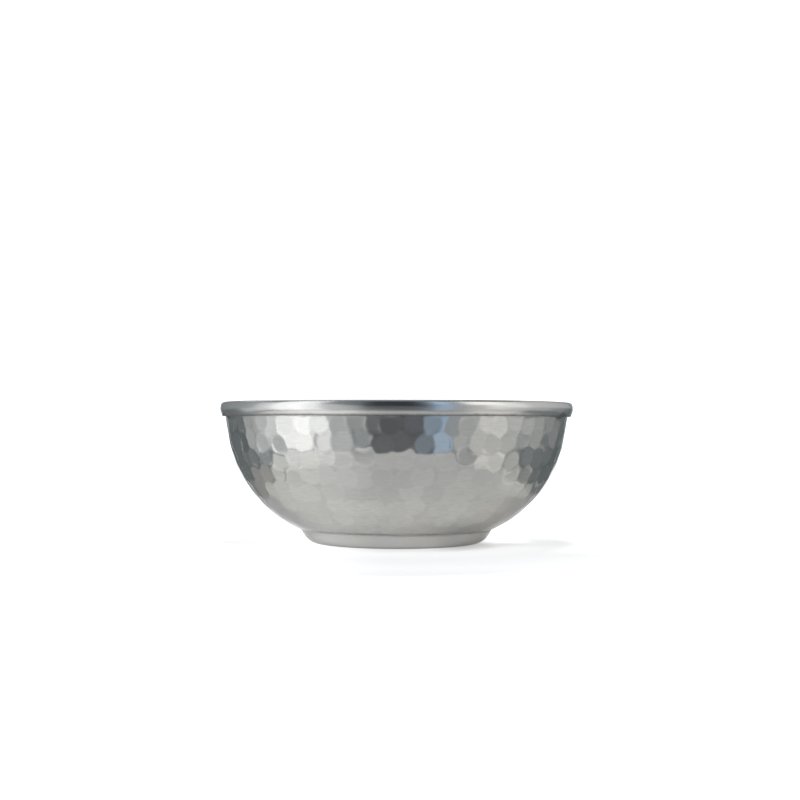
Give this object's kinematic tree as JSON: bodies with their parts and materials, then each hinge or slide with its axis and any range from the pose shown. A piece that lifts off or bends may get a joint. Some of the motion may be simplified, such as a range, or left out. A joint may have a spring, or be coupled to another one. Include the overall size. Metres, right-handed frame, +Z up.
{
  "type": "hammam bowl",
  "caption": "Round hammered metal hammam bowl with a turned-down wired lip and a soldered foot ring, for scooping and pouring water in a bath house.",
  "frame": {"origin": "on the table, under the middle of the foot ring", "axes": "+Z up along the bowl's axis; the picture looks along +Y; the ends of the rim wire meet at +Y"},
  "size_m": [0.18, 0.18, 0.0715],
  "materials": {
    "hammered_sheet": "white brass (nickel silver) sheet, hammered in overlapping round marks and polished by hand",
    "iron_wire": "drawn iron wire, dull, shut inside the lip",
    "spun_sheet": "white brass (nickel silver) sheet, spun smooth with fine turning lines",
    "soft_solder": null
  },
  "bodies": {
    "root": {"bowl_shell": "hammered_sheet", "rim_wire": "iron_wire", "foot_ring": "spun_sheet", "foot_solder": "soft_solder"}
  },
  "joints": []
}
